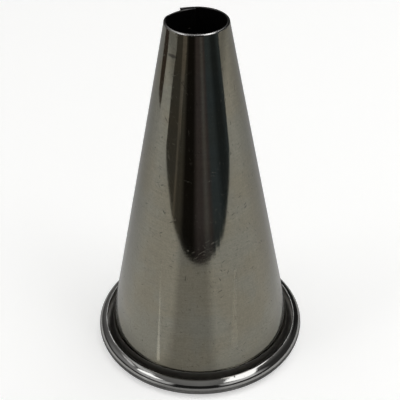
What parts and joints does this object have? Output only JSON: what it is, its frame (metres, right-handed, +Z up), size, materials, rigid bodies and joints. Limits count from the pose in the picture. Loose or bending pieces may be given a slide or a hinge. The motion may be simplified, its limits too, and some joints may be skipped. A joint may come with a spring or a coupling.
{
  "type": "piping nozzle",
  "caption": "Plain round piping nozzle: a cone of rolled steel sheet, open at both ends, with a lapped seam and an open rolled rim at its wide end.",
  "frame": {"origin": "centre of the base on the plane that the nozzle stands on", "axes": "+Z up the nozzle's axis towards the mouth; the lap of the seam is at the back, from 2 to 31 degrees from +Y towards -X"},
  "size_m": [0.037, 0.037, 0.061],
  "materials": {
    "satin_steel": "satin polished stainless steel",
    "polished_steel": "mirror polished stainless steel",
    "weld_steel": "heat tinted stainless steel"
  },
  "bodies": {
    "root": {"cone_sheet": "satin_steel", "rolled_rim": "polished_steel", "seam_welds": "weld_steel"}
  },
  "joints": []
}
